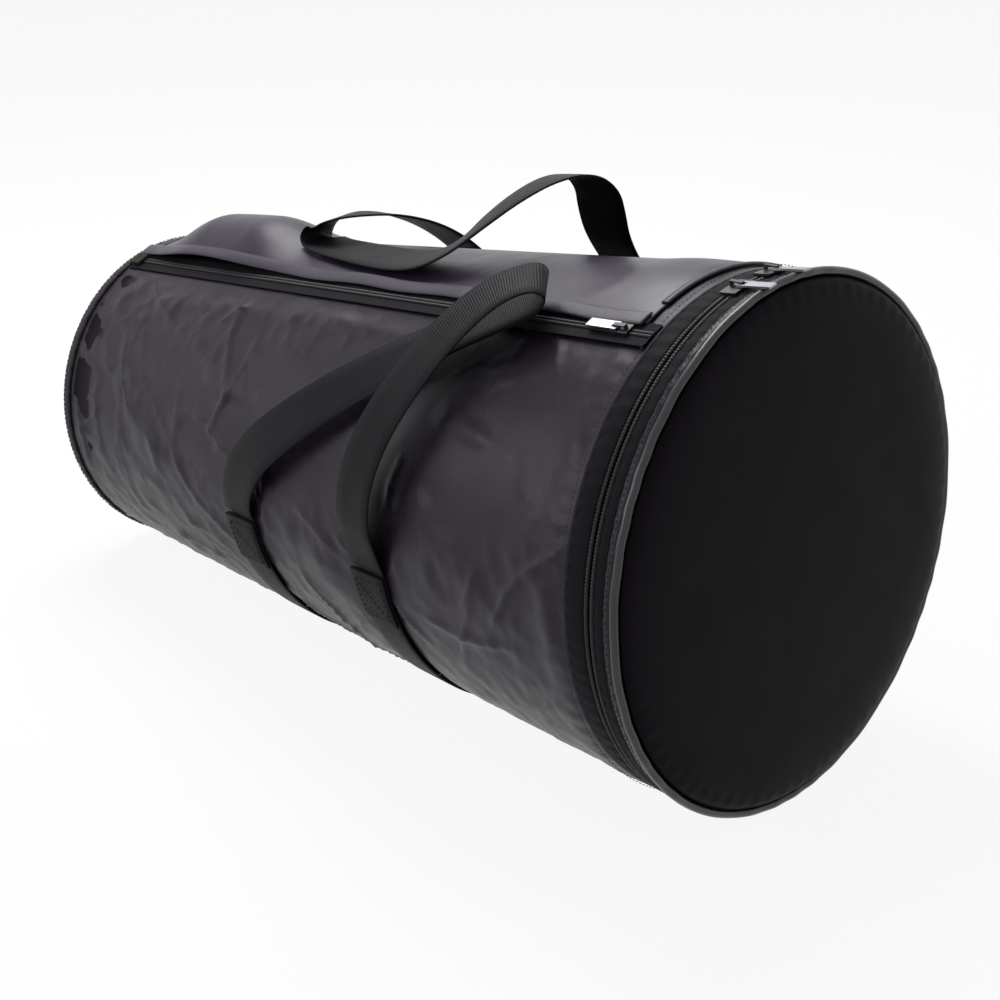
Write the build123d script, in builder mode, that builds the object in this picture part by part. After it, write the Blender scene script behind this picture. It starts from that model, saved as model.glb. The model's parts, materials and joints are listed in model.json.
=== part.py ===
from build123d import *
from math import asin, atan, cos, degrees, radians, sin
import os

# Padded, tapered carry case for a telescope tube, lying on its side: a soft round bag with
# a zipped lid at its wide end, two webbing handles, a long flat pocket on top and a belly
# that has settled flat on the floor.
#
# Places on the bag are given in its own terms: a station is the distance from the narrow
# end along the bag's axis, an angle goes round that axis from the top towards the near
# side (-Y), and a height is measured outwards from the cover.  Sizes are in millimetres.

# Overall shape
rim_station = 697.0  # narrow end to the centre of the lid piping
narrow_radius = 134.0  # cover at the narrow end
rim_radius = 187.0  # cover line at the lid piping, and the piping's own ring
base_corner_radius = 18.0
belly_sag = 7.0  # how far the belly has settled at the narrow end
middle_station = 352.8  # station above the origin

# Layers of the wall
cover_thickness = 1.2
padding_thickness = 9.0
lining_thickness = 0.8
layer_gap = 0.2
running_gap = 0.3  # between pieces that move past each other

# Narrow end
base_seam_station = 20.0
base_board_thickness = 1.5
base_board_edge_gap = 6.5
seam_tape_width = 9.0
seam_tape_thickness = 0.8

# Mouth and lid zip
mouth_station = 655.0
mouth_binding_thickness = 2.0
chain_station = 675.0  # middle of the lid zip
chain_split = 1.6  # room between the two coils for a slider's post
coil_width = 3.4
coil_height = 3.0
tape_thickness = 1.0
tape_depth = 0.3  # the tapes lie this far under the cover line
lid_tape_end = 688.0
hinge_half_angle = 15.0  # fabric hinge under the lid, each side of the lowest line
stop_length = 3.0

# Lid
gusset_end = 694.0
piping_radius = 3.0
piping_sleeve = 0.9
lid_back_station = 690.0
lid_crown_station = 706.0
lid_shoulder_station = 699.5
lid_flat_radius = 135.0
lid_edge_radius = 183.3
lid_board_thickness = 1.5
lid_lining_thickness = 0.8
flange_thickness = 1.2

# Webbing
web_width = 38.0
web_thickness = 2.0
rear_strap_station = 286.0
front_strap_station = 448.0
anchor_angle = 97.0
seat_bead_radius = 1.25  # the handles' ends are rolled where they turn on their seats
sewn_end_length = 42.0
run_gap = 0.04  # hairline between the straight runs of a handle
turn_over_limit = 0.5  # a run steeper than 60 degrees to the cover keeps the width it had

# Top pocket and its zip
pocket_start = 26.0
pocket_end = 640.0
pocket_far_angle = -20.0
pocket_thickness = 1.2
pocket_height = 0.4
pocket_zip_start = 28.0
pocket_zip_end = 652.0
pocket_zip_first_angle = 20.5
pocket_zip_last_angle = 28.5
pocket_zip_height = 0.9
pocket_tape_half_width = 11.0
pocket_tape_thickness = 0.8
pocket_coil_width = 2.6
pocket_coil_height = 2.2
pocket_coil_split = 0.4
pocket_lip_width = 13.0
pocket_lip_thickness = 1.2
pocket_lip_start = 5.5  # the lip stops short of the slider
pocket_lip_rise = 0.6
pocket_tab_length = 14.0
pocket_tab_width = 14.0
pocket_tab_thickness = 2.0

# Zip sliders and pulls
slider_length = 22.0
slider_width = 13.0
slider_plate = 1.5
slider_post = 1.0
near_slider_angle = 9.5
far_slider_angle = -1.5
bridge_length = 10.0
bridge_leg = 1.4
bridge_width = 3.0
bridge_window = 2.2
bridge_top = 0.9
pull_length = 27.0
pull_width = 7.5
pull_thickness = 1.4
pull_pin_gap = 0.4
pull_slot_length = 4.0
pull_slot_width = 4.2
pocket_slider_station = 628.0
pocket_slider_length = 15.0
pocket_slider_plate = 1.2
pocket_slider_flange = 1.4

os.makedirs("parts", exist_ok=True)

# The bag lies with its lowest line level, so its axis climbs towards the lid
taper = (rim_radius - narrow_radius) / rim_station
belly_height = running_gap + web_thickness
belly_drop = piping_radius - belly_height + belly_sag  # lowest line of the cover, end to end
axis_tilt = atan(taper) + asin(belly_drop * cos(atan(taper)) / rim_station)
axis_way = Vector(cos(axis_tilt), 0, sin(axis_tilt))
top_way = Vector(-sin(axis_tilt), 0, cos(axis_tilt))
near_way = Vector(0, -1, 0)
narrow_height = narrow_radius * cos(axis_tilt) + belly_height - belly_sag
bag_start = Vector(-middle_station, 0, narrow_height)
bag_axis = Axis(bag_start, axis_way)


def cover_radius(station):
    """Outer radius of the cover at a station."""
    return narrow_radius + taper * station


def outward(angle):
    """Direction from the axis to the cover at an angle."""
    return top_way * cos(radians(angle)) + near_way * sin(radians(angle))


def facing(angle):
    """Square to the cover's surface at an angle."""
    return (outward(angle) - axis_way * taper).normalized()


def place_on_bag(station, angle, height):
    """Point over the cover."""
    return bag_start + axis_way * station + outward(angle) * (cover_radius(station) + height)


def section_at(angle):
    """Half section of the bag at an angle: x is the station, y the radius."""
    return Plane(origin=bag_start, x_dir=axis_way, z_dir=axis_way.cross(outward(angle)))


def station_plane(station):
    """Plane across the bag, facing the lid."""
    return Plane(origin=bag_start + axis_way * station, x_dir=near_way, z_dir=axis_way)


def bag_form(inset, end):
    """The bag as one solid up to a station, at a depth under the cover, with its settled belly."""
    edge = cover_radius(inset) - inset
    with BuildPart() as form:
        with BuildSketch(section_at(0)):
            with BuildLine():
                skin = FilletPolyline(
                    (inset, 0),
                    (inset, edge),
                    (end, cover_radius(end) - inset),
                    radius=base_corner_radius - inset,
                )
                Polyline(skin @ 1, (end, 0), skin @ 0)
            make_face()
        revolve(axis=bag_axis)
        split(bisect_by=Plane.XY.offset(belly_height + inset), keep=Keep.TOP)
    return form.part


def wall_layer(depth, thickness, start, end):
    """One layer of the bag's wall between two stations."""
    with BuildPart() as layer:
        add(bag_form(depth, end))
        add(bag_form(depth + thickness, end + thickness), mode=Mode.SUBTRACT)
        split(bisect_by=station_plane(start), keep=Keep.TOP)
    return layer.part


def end_layer(depth, thickness, end):
    """One layer of the narrow end, up to the base seam."""
    with BuildPart() as layer:
        add(bag_form(depth, end))
        add(bag_form(depth + thickness, end + thickness), mode=Mode.SUBTRACT)
    return layer.part


def ring(start, end, depth, thickness, first_angle=0.0, arc=360.0):
    """Part of a conical band round the bag, at a depth under the cover line."""
    outer_start = cover_radius(start) - depth
    outer_end = cover_radius(end) - depth
    with BuildPart() as band:
        with BuildSketch(section_at(first_angle)):
            with BuildLine():
                Polyline(
                    (start, outer_start),
                    (end, outer_end),
                    (end, outer_end - thickness),
                    (start, outer_start - thickness),
                    close=True,
                )
            make_face()
        revolve(axis=bag_axis, revolution_arc=arc)
    return band.part


# Depths of the layers, from the outside in
padding_depth = cover_thickness + layer_gap
lining_depth = padding_depth + padding_thickness + layer_gap
wall_depth = lining_depth + lining_thickness
seam_half_gap = layer_gap / 2

# Narrow end: cover, foam, board and lining
with BuildPart() as base_cover:
    add(end_layer(0, cover_thickness, base_seam_station - seam_half_gap))

with BuildPart() as base_padding:
    add(end_layer(padding_depth, padding_thickness, base_seam_station - seam_half_gap))

with BuildPart() as base_lining:
    add(end_layer(lining_depth, lining_thickness, base_seam_station - seam_half_gap))

# The board lies on the lining inside the narrow end and keeps it round
base_board_start = wall_depth + layer_gap
with BuildPart() as base_board:
    with BuildSketch(station_plane(base_board_start)):
        Circle(narrow_radius - wall_depth - base_board_edge_gap)
    extrude(amount=base_board_thickness)
    split(bisect_by=Plane.XY.offset(belly_height + wall_depth + base_board_edge_gap), keep=Keep.TOP)

with BuildPart() as base_seam_tape:
    add(bag_form(-layer_gap - seam_tape_thickness, base_seam_station + seam_tape_width / 2))
    add(bag_form(-layer_gap, base_seam_station + seam_tape_width), mode=Mode.SUBTRACT)
    split(bisect_by=station_plane(base_seam_station - seam_tape_width / 2), keep=Keep.TOP)

# Body wall
with BuildPart() as body_cover:
    add(wall_layer(0, cover_thickness, base_seam_station + seam_half_gap, mouth_station))

with BuildPart() as body_padding:
    add(wall_layer(padding_depth, padding_thickness, base_seam_station + seam_half_gap, mouth_station))

with BuildPart() as body_lining:
    add(wall_layer(lining_depth, lining_thickness, base_seam_station + seam_half_gap, mouth_station))

# The binding closes the raw edges of the foam and lining at the mouth
with BuildPart() as mouth_binding:
    add(
        ring(
            mouth_station + layer_gap,
            mouth_station + layer_gap + mouth_binding_thickness,
            padding_depth,
            wall_depth - padding_depth,
        )
    )

# Lid zip: two tapes and two coils, open at the fabric hinge
zip_first_angle = -180 + hinge_half_angle
zip_arc = 360 - 2 * hinge_half_angle
body_coil_end = chain_station - chain_split / 2
body_coil_start = body_coil_end - coil_width
lid_coil_start = chain_station + chain_split / 2
lid_coil_end = lid_coil_start + coil_width
tape_middle_depth = tape_depth + tape_thickness / 2
coil_depth = tape_middle_depth - coil_height / 2

with BuildPart() as zip_tape_body:
    add(
        ring(
            mouth_station + layer_gap,
            body_coil_start - seam_half_gap,
            tape_depth,
            tape_thickness,
            zip_first_angle,
            zip_arc,
        )
    )

with BuildPart() as zip_coil_body:
    add(ring(body_coil_start, body_coil_end, coil_depth, coil_height, zip_first_angle, zip_arc))

with BuildPart() as zip_tape_lid:
    add(
        ring(
            lid_coil_end + seam_half_gap,
            lid_tape_end - seam_half_gap,
            tape_depth,
            tape_thickness,
            zip_first_angle,
            zip_arc,
        )
    )

with BuildPart() as zip_coil_lid:
    add(ring(lid_coil_start, lid_coil_end, coil_depth, coil_height, zip_first_angle, zip_arc))

# A stop closes each end of the body's coil
stop_arc = degrees(stop_length / cover_radius(chain_station))
with BuildPart() as zip_end_stops:
    for stop_angle in (zip_first_angle - stop_arc, zip_first_angle + zip_arc):
        add(ring(body_coil_start, body_coil_end, coil_depth, coil_height, stop_angle, stop_arc))

# Fabric hinge below the lid
with BuildPart() as lid_hinge_fabric:
    add(
        ring(
            mouth_station + layer_gap,
            body_coil_start - seam_half_gap,
            tape_depth,
            tape_thickness,
            180 - hinge_half_angle,
            2 * hinge_half_angle,
        )
    )
    add(
        ring(
            body_coil_start - seam_half_gap,
            lid_tape_end - running_gap,
            tape_depth,
            tape_thickness,
            180 - hinge_half_angle + stop_arc,
            2 * (hinge_half_angle - stop_arc),
        )
    )

# Lid: gusset, piping, crowned panel, foam, board and lining
with BuildPart() as lid_gusset:
    add(ring(lid_tape_end + seam_half_gap, gusset_end, 0, cover_thickness))

sleeve_bore = piping_radius - piping_sleeve
with BuildPart() as lid_piping:
    with BuildSketch(section_at(0)):
        with Locations((rim_station, rim_radius)):
            Circle(piping_radius)
            Circle(sleeve_bore, mode=Mode.SUBTRACT)
    revolve(axis=bag_axis)

with BuildPart() as lid_piping_core:
    with BuildSketch(section_at(0)):
        with Locations((rim_station, rim_radius)):
            Circle(sleeve_bore - layer_gap)
    revolve(axis=bag_axis)

# The piping's flange is sewn in between the gusset and the panel's turned edge
flange_outer = cover_radius(lid_tape_end) - cover_thickness - layer_gap
with BuildPart() as lid_piping_flange:
    with BuildSketch(section_at(0)):
        with BuildLine():
            Polyline(
                (lid_tape_end + seam_half_gap, flange_outer),
                (gusset_end, flange_outer),
                (gusset_end, flange_outer - flange_thickness),
                (lid_tape_end + seam_half_gap, flange_outer - flange_thickness),
                close=True,
            )
        make_face()
    revolve(axis=bag_axis)


def lid_form(inset, back):
    """The lid's crowned panel as one solid, at a depth under its face, from a station forwards."""
    crown = lid_crown_station - inset
    edge = lid_edge_radius - inset
    with BuildPart() as form:
        with BuildSketch(section_at(0)):
            with BuildLine():
                face = Line((crown, 0), (crown, lid_flat_radius))
                shoulder = TangentArc(
                    face @ 1, (lid_shoulder_station - inset, edge), tangent=face % 1
                )
                Polyline(shoulder @ 1, (back, edge), (back, 0), face @ 0)
            make_face()
        revolve(axis=bag_axis)
    return form.part


with BuildPart() as lid_cover:
    add(lid_form(0, lid_back_station))
    add(lid_form(cover_thickness, lid_back_station - cover_thickness), mode=Mode.SUBTRACT)

lid_inner_depth = cover_thickness + layer_gap
lid_board_start = lid_back_station + lid_lining_thickness + layer_gap
lid_foam_start = lid_board_start + lid_board_thickness + layer_gap
lid_disc_radius = lid_edge_radius - lid_inner_depth

with BuildPart() as lid_padding:
    add(lid_form(lid_inner_depth, lid_foam_start))

with BuildPart() as lid_board:
    with BuildSketch(station_plane(lid_board_start)):
        Circle(lid_disc_radius)
    extrude(amount=lid_board_thickness)

with BuildPart() as lid_lining:
    with BuildSketch(station_plane(lid_back_station)):
        Circle(lid_disc_radius)
    extrude(amount=lid_lining_thickness)

# Girth straps: webbing under the belly, from the near handle's seat to the far one's
strap_height = running_gap + web_thickness
seat_gap = degrees((seat_bead_radius + running_gap) / cover_radius(rear_strap_station))
strap_first_angle = anchor_angle + seat_gap


def girth_strap(station):
    """Webbing band under the belly, flat where the bag stands on it."""
    with BuildPart() as strap:
        add(bag_form(-strap_height, station + web_width / 2))
        add(bag_form(-running_gap, station + web_width), mode=Mode.SUBTRACT)
        split(bisect_by=station_plane(station - web_width / 2), keep=Keep.TOP)
        with BuildSketch(section_at(-strap_first_angle)):
            with Locations((station, cover_radius(station))):
                Rectangle(2 * web_width, cover_radius(station))
        revolve(axis=bag_axis, revolution_arc=2 * strap_first_angle, mode=Mode.SUBTRACT)
    return strap.part


with BuildPart() as rear_girth_strap:
    add(girth_strap(rear_strap_station))

with BuildPart() as front_girth_strap:
    add(girth_strap(front_strap_station))


def sewn_ends(side):
    """The ends of one handle, turned down and sewn over the girth straps; side is 1 or -1."""
    with BuildPart() as ends:
        for station in (rear_strap_station, front_strap_station):
            arc = degrees(sewn_end_length / cover_radius(station))
            first = strap_first_angle if side > 0 else -strap_first_angle - arc
            add(
                ring(
                    station - web_width / 2,
                    station + web_width / 2,
                    -strap_height - layer_gap - web_thickness,
                    web_thickness,
                    first,
                    arc,
                )
            )
    return ends.part


with BuildPart() as near_handle_ends:
    add(sewn_ends(1))

with BuildPart() as far_handle_ends:
    add(sewn_ends(-1))

# Handles: each is one length of webbing, as (station, angle, height) places along its middle
handle_seat = running_gap + seat_bead_radius
near_handle_route = [
    (rear_strap_station, anchor_angle, handle_seat),
    (288, 93, 4.5),
    (298, 86, 9),
    (320, 77, 13),
    (355, 68, 14),
    (398, 58, 13),
    (444, 48, 12),
    (488, 38, 11),
    (526, 30, 11),
    (546, 26, 13),
    (554, 24, 19),
    (554, 24, 27),
    (546, 26, 33),
    (528, 31, 34),
    (508, 40, 30),
    (492, 50, 27),
    (476, 61, 26),
    (462, 72, 23),
    (452, 83, 16),
    (449, 91, 6),
    (front_strap_station, anchor_angle, handle_seat),
]
far_handle_route = [
    (rear_strap_station, -anchor_angle, handle_seat),
    (286, -92, 3),
    (286, -80, 8),
    (286, -60, 12),
    (286, -42, 17),
    (284, -26, 22),
    (276, -13, 27),
    (258, -5, 28),
    (240, -2, 25),
    (228, -1, 20),
    (224, 0, 14),
    (230, 1, 8),
    (248, 3, 6),
    (280, 6, 6),
    (320, 9, 6),
    (360, 11, 6),
    (392, 11.5, 9),
    (416, 9, 18),
    (434, 5, 32),
    (450, -1, 47),
    (462, -7, 58),
    (469, -13, 61),
    (470, -18, 52),
    (465, -22, 38),
    (458, -28, 24),
    (453, -38, 14),
    (450, -54, 9),
    (448, -74, 8),
    (448, -90, 4),
    (front_strap_station, -anchor_angle, handle_seat),
]


def webbing_handle(route, side):
    """Webbing carried from place to place, with its face to the cover except where it turns over."""
    seat_way = (
        place_on_bag(front_strap_station, side * anchor_angle, handle_seat)
        - place_on_bag(rear_strap_station, side * anchor_angle, handle_seat)
    ).normalized()
    rise = outward(side * (anchor_angle - 90))
    places = [place_on_bag(*place) for place in route]
    runs = [(after - before).normalized() for before, after in zip(places, places[1:])]
    mitres = [rise] + [before + after for before, after in zip(runs, runs[1:])] + [rise * -1]
    width_way = seat_way
    sections = []
    for place, mitre, (station, angle, height) in zip(places, mitres, route):
        way = mitre.normalized()
        flat_way = facing(angle).cross(way)
        if flat_way.length > turn_over_limit:
            width_way = flat_way if flat_way.dot(width_way) > 0 else flat_way * -1
        width_way = (width_way - way * width_way.dot(way)).normalized()
        sections.append((place, width_way, way))
    with BuildPart() as strap:
        # Each straight run is its own solid, a hairline from the next
        for (start, start_width, start_way), (end, end_width, end_way) in zip(sections, sections[1:]):
            near_end = start + start_way * (run_gap / 2)
            far_end = end - end_way * (run_gap / 2)
            with BuildSketch(Plane(origin=near_end, x_dir=start_width, z_dir=start_way)):
                Rectangle(web_width, web_thickness)
            with BuildSketch(Plane(origin=far_end, x_dir=end_width, z_dir=end_way)):
                Rectangle(web_width, web_thickness)
            loft(ruled=True)
        # Each end is rolled, so that it turns on its seat
        for seat in (places[0], places[-1]):
            with BuildSketch(Plane(origin=seat - seat_way * (web_width / 2), z_dir=seat_way)):
                Circle(seat_bead_radius)
            extrude(amount=web_width)
    return strap.part


with BuildPart() as near_handle:
    add(webbing_handle(near_handle_route, 1))

with BuildPart() as far_handle:
    add(webbing_handle(far_handle_route, -1))

# Top pocket: the zip runs straight from the narrow end to the mouth
zip_line_start = place_on_bag(pocket_zip_start, pocket_zip_first_angle, pocket_zip_height)
zip_line_end = place_on_bag(pocket_zip_end, pocket_zip_last_angle, pocket_zip_height)
zip_way = (zip_line_end - zip_line_start).normalized()
zip_length = (zip_line_end - zip_line_start).length
zip_middle_out = outward((pocket_zip_first_angle + pocket_zip_last_angle) / 2)
zip_out = (zip_middle_out - zip_way * zip_middle_out.dot(zip_way)).normalized()
zip_across = zip_out.cross(zip_way)  # points to the far side of the zip


def zip_plane(distance):
    """Plane across the pocket zip: x goes across it, y outwards from the cover."""
    return Plane(origin=zip_line_start + zip_way * distance, x_dir=zip_across, z_dir=zip_way)


def zip_strip(first, last, height, thickness, start=0.0, end=zip_length):
    """Straight strip along the pocket zip, between two places across it."""
    with BuildPart() as strip:
        with BuildSketch(zip_plane(start)):
            with Locations(((first + last) / 2, height + thickness / 2)):
                Rectangle(last - first, thickness)
        extrude(amount=end - start)
    return strip.part


# Flat panel of the pocket, sewn down along its far edge and both ends
panel_near_angle = pocket_zip_last_angle + hinge_half_angle
zip_side = Plane(
    origin=zip_line_start + zip_across * (pocket_tape_half_width + layer_gap), z_dir=zip_across
)
with BuildPart() as pocket_panel:
    add(
        ring(
            pocket_start,
            pocket_end,
            -pocket_height - pocket_thickness,
            pocket_thickness,
            pocket_far_angle,
            panel_near_angle - pocket_far_angle,
        )
    )
    split(bisect_by=zip_side, keep=Keep.TOP)

coil_half_split = pocket_coil_split / 2
coil_reach = coil_half_split + pocket_coil_width
pocket_coil_base = -layer_gap
pocket_coil_top = pocket_coil_base + pocket_coil_height

with BuildPart() as pocket_zip_tape_near:
    add(zip_strip(-pocket_tape_half_width, -coil_reach - layer_gap, 0, pocket_tape_thickness))

with BuildPart() as pocket_zip_tape_far:
    add(zip_strip(coil_reach + layer_gap, pocket_tape_half_width, 0, pocket_tape_thickness))

with BuildPart() as pocket_zip_coils:
    add(zip_strip(-coil_reach, -coil_half_split, pocket_coil_base, pocket_coil_height))
    add(zip_strip(coil_half_split, coil_reach, pocket_coil_base, pocket_coil_height))

# Folded hem along the panel's near edge, over the far tape
with BuildPart() as pocket_lip:
    add(
        zip_strip(
            pocket_lip_start,
            pocket_lip_start + pocket_lip_width,
            pocket_tape_thickness + pocket_lip_rise,
            pocket_lip_thickness,
            end=pocket_end - pocket_zip_start,
        )
    )

# A folded tab closes the zip at the narrow end
with BuildPart() as pocket_zip_tab:
    add(
        zip_strip(
            -pocket_tab_width / 2,
            pocket_lip_start - running_gap,
            pocket_coil_top + layer_gap,
            pocket_tab_thickness,
            end=pocket_tab_length,
        )
    )


def slider_bridge(foot, along, out, sunk):
    """Small bridge on a slider that holds its pull; foot is the middle of its underside."""
    with BuildPart() as bridge:
        with BuildSketch(Plane(origin=foot, x_dir=along, z_dir=along.cross(out))):
            with Locations((0, (bridge_window + bridge_top - sunk) / 2)):
                Rectangle(bridge_length, bridge_window + bridge_top + sunk)
            with Locations((0, bridge_window / 2)):
                Rectangle(bridge_length - 2 * bridge_leg, bridge_window, mode=Mode.SUBTRACT)
        extrude(amount=bridge_width / 2, both=True)
    return bridge.part


def pull_pin(foot, along, out):
    """Middle of the bar on which a pull swings, inside its bridge."""
    reach = bridge_length / 2 - bridge_leg - pull_pin_gap - pull_thickness / 2
    return foot + along * reach + out * (bridge_window / 2)


def zip_pull(foot, along, out, lift):
    """Flat pull that lies along a direction, lifted by an angle, with a slot for its bridge."""
    way = along * cos(radians(lift)) + out * sin(radians(lift))
    face_way = out * cos(radians(lift)) - along * sin(radians(lift))
    pin_half = pull_thickness / 2
    with BuildPart() as pull:
        with BuildSketch(Plane(origin=pull_pin(foot, along, out), x_dir=way, z_dir=face_way)):
            with Locations((pull_length / 2 - pin_half, 0)):
                RectangleRounded(pull_length, pull_width, pin_half)
            with Locations((pin_half + pull_slot_length / 2, 0)):
                Rectangle(pull_slot_length, pull_slot_width, mode=Mode.SUBTRACT)
        extrude(amount=pin_half, both=True)
    return pull.part


# Lid sliders: a plate over the coils, a plate under them and a post in between
plate_rise = -coil_depth + running_gap
slider_start = chain_station - slider_width / 2
slider_end = chain_station + slider_width / 2
bridge_radius = cover_radius(chain_station + bridge_length / 2) + plate_rise + slider_plate
slider_arc = degrees(slider_length / cover_radius(chain_station))
pin_station = (
    chain_station + bridge_length / 2 - bridge_leg - pull_pin_gap - pull_thickness / 2
)
pin_radius = bridge_radius + bridge_window / 2
pull_rise = rim_radius + piping_radius + running_gap + pull_thickness / 2 - pin_radius
lid_pull_lift = degrees(atan(pull_rise / (rim_station - pin_station)))


def bridge_foot(angle):
    """Middle of a lid slider's bridge, on its top plate."""
    return bag_start + axis_way * chain_station + outward(angle) * bridge_radius


def lid_slider(angle):
    """Slider of the lid zip at an angle."""
    first = angle - slider_arc / 2
    post_height = coil_height + 2 * running_gap + slider_plate
    with BuildPart() as slider:
        add(ring(slider_start, slider_end, -plate_rise - slider_plate, slider_plate, first, slider_arc))
        add(
            ring(
                slider_start,
                slider_end,
                coil_depth + coil_height + running_gap,
                slider_plate,
                first,
                slider_arc,
            )
        )
        add(
            ring(
                chain_station - slider_post / 2,
                chain_station + slider_post / 2,
                -plate_rise - slider_plate / 2,
                post_height,
                first,
                slider_arc,
            )
        )
        add(slider_bridge(bridge_foot(angle), axis_way, outward(angle), slider_plate / 2))
    return slider.part


def lid_pull(angle):
    """Pull of a lid slider, lying over the gusset and the piping."""
    return zip_pull(bridge_foot(angle), axis_way, outward(angle), lid_pull_lift)


with BuildPart() as near_zip_slider:
    add(lid_slider(near_slider_angle))

with BuildPart() as near_zip_pull:
    add(lid_pull(near_slider_angle))

with BuildPart() as far_zip_slider:
    add(lid_slider(far_slider_angle))

with BuildPart() as far_zip_pull:
    add(lid_pull(far_slider_angle))

# Pocket slider: a plate over the coils with a flange down each side
pocket_slider_reach = coil_reach + running_gap + pocket_slider_flange
pocket_plate_base = pocket_coil_top + running_gap
pocket_slider_middle = pocket_slider_station - pocket_zip_start
pocket_slider_first = pocket_slider_middle - pocket_slider_length / 2
pocket_slider_last = pocket_slider_middle + pocket_slider_length / 2
pocket_flange_base = pocket_tape_thickness + running_gap
pocket_bridge_foot = (
    zip_line_start
    + zip_way * pocket_slider_middle
    + zip_out * (pocket_plate_base + pocket_slider_plate)
)
pocket_pull_way = zip_way * -1

with BuildPart() as pocket_zip_slider:
    add(
        zip_strip(
            -pocket_slider_reach,
            pocket_slider_reach,
            pocket_plate_base,
            pocket_slider_plate,
            pocket_slider_first,
            pocket_slider_last,
        )
    )
    for flange_first in (-pocket_slider_reach, pocket_slider_reach - pocket_slider_flange):
        add(
            zip_strip(
                flange_first,
                flange_first + pocket_slider_flange,
                pocket_flange_base,
                pocket_plate_base + pocket_slider_plate / 2 - pocket_flange_base,
                pocket_slider_first,
                pocket_slider_last,
            )
        )
    add(slider_bridge(pocket_bridge_foot, pocket_pull_way, zip_out, pocket_slider_plate / 2))

with BuildPart() as pocket_zip_pull:
    add(zip_pull(pocket_bridge_foot, pocket_pull_way, zip_out, 0))

pieces = {
    "base_cover": base_cover,
    "base_padding": base_padding,
    "base_lining": base_lining,
    "base_board": base_board,
    "base_seam_tape": base_seam_tape,
    "body_cover": body_cover,
    "body_padding": body_padding,
    "body_lining": body_lining,
    "mouth_binding": mouth_binding,
    "zip_tape_body": zip_tape_body,
    "zip_coil_body": zip_coil_body,
    "zip_end_stops": zip_end_stops,
    "lid_hinge_fabric": lid_hinge_fabric,
    "zip_tape_lid": zip_tape_lid,
    "zip_coil_lid": zip_coil_lid,
    "lid_gusset": lid_gusset,
    "lid_piping": lid_piping,
    "lid_piping_core": lid_piping_core,
    "lid_piping_flange": lid_piping_flange,
    "lid_cover": lid_cover,
    "lid_padding": lid_padding,
    "lid_board": lid_board,
    "lid_lining": lid_lining,
    "near_zip_slider": near_zip_slider,
    "near_zip_pull": near_zip_pull,
    "far_zip_slider": far_zip_slider,
    "far_zip_pull": far_zip_pull,
    "rear_girth_strap": rear_girth_strap,
    "front_girth_strap": front_girth_strap,
    "near_handle_ends": near_handle_ends,
    "far_handle_ends": far_handle_ends,
    "near_handle": near_handle,
    "far_handle": far_handle,
    "pocket_panel": pocket_panel,
    "pocket_lip": pocket_lip,
    "pocket_zip_tape_near": pocket_zip_tape_near,
    "pocket_zip_tape_far": pocket_zip_tape_far,
    "pocket_zip_coils": pocket_zip_coils,
    "pocket_zip_tab": pocket_zip_tab,
    "pocket_zip_slider": pocket_zip_slider,
    "pocket_zip_pull": pocket_zip_pull,
}
for name, piece in pieces.items():
    piece.part.label = name
    export_step(piece.part, f"parts/{name}.step")
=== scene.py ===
import json
import math
import bpy
import numpy as np
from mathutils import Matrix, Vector


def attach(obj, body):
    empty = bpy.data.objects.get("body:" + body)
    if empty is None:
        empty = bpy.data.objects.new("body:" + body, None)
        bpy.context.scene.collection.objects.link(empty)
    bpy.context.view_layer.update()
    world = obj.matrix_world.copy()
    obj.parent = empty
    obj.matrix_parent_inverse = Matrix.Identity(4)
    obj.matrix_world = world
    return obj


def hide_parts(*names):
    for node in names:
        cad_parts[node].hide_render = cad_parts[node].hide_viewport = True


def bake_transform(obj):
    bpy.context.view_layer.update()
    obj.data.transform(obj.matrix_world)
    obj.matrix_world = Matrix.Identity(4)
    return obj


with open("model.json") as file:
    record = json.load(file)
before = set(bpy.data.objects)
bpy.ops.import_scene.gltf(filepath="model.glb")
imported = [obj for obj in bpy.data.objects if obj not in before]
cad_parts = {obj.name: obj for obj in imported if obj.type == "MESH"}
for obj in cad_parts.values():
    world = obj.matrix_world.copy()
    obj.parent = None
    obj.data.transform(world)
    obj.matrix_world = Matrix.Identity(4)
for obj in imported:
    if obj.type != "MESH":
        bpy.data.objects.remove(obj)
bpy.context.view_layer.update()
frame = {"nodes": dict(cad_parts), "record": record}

joints = {j["name"]: j for j in frame["record"]["behaviour"]["joints"]}
print("frame loaded")

# The bag in its own terms: station along its axis, angle in degrees from the top towards the
# near side, height over the cover
bag = {
    "start": np.array(joints["near_slider_run"]["pos_m"]),
    "way": np.array(joints["near_slider_run"]["axis"]),
    "narrowRadius": 0.134,
    "rimRadius": 0.187,
    "rimStation": 0.697,
    "bellyHeight": 0.0023,
    "baseSeam": 0.020,
    "mouth": 0.655,
}
bag["top"] = np.array([-bag["way"][2], 0.0, bag["way"][0]])
bag["near"] = np.array([0.0, -1.0, 0.0])


def radiusAt(station):
    # straight taper from the narrow end to the rim
    return bag["narrowRadius"] + (bag["rimRadius"] - bag["narrowRadius"]) * station / bag["rimStation"]


def outwardAt(angle):
    a = np.radians(angle)[..., None]
    return np.cos(a) * bag["top"] + np.sin(a) * bag["near"]


def onBag(station, angle, height):
    # axis point at the station, plus the cover radius and the height in the outward direction
    station, angle, height = np.broadcast_arrays(
        np.asarray(station, float), np.asarray(angle, float), np.asarray(height, float)
    )
    along = bag["start"] + station[..., None] * bag["way"]
    return along + (radiusAt(station) + height)[..., None] * outwardAt(angle)


def settle(points, floor, soft=0.0005):
    # soft floor: z = floor + soft * ln(1 + e^((z - floor) / soft))
    out = points.copy()
    out[..., 2] = floor + soft * np.logaddexp(0.0, (points[..., 2] - floor) / soft)
    return out


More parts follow.
